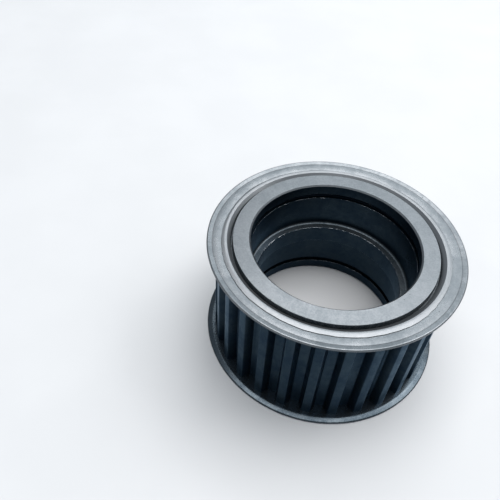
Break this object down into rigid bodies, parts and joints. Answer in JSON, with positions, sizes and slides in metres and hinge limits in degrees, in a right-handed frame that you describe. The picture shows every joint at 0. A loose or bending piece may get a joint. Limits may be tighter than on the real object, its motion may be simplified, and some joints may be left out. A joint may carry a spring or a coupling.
{
  "type": "timing belt pulley",
  "caption": "Flanged timing belt idler pulley with trapezoidal teeth and a bearing seat bored in each end.",
  "frame": {"origin": "on the pulley's axis, halfway along the teeth", "axes": "+Z along the pulley's axis, towards the upper flange; a gap between two teeth is centred on +X"},
  "size_m": [0.094, 0.094, 0.0492],
  "materials": {
    "body_steel": "black oxide on machined steel, worn bright on edges",
    "flange_steel": "phosphated sheet steel, satin grey with fine scratches"
  },
  "bodies": {
    "root": {"toothed_body": "body_steel", "upper_flange": "flange_steel", "lower_flange": "flange_steel"}
  },
  "joints": []
}
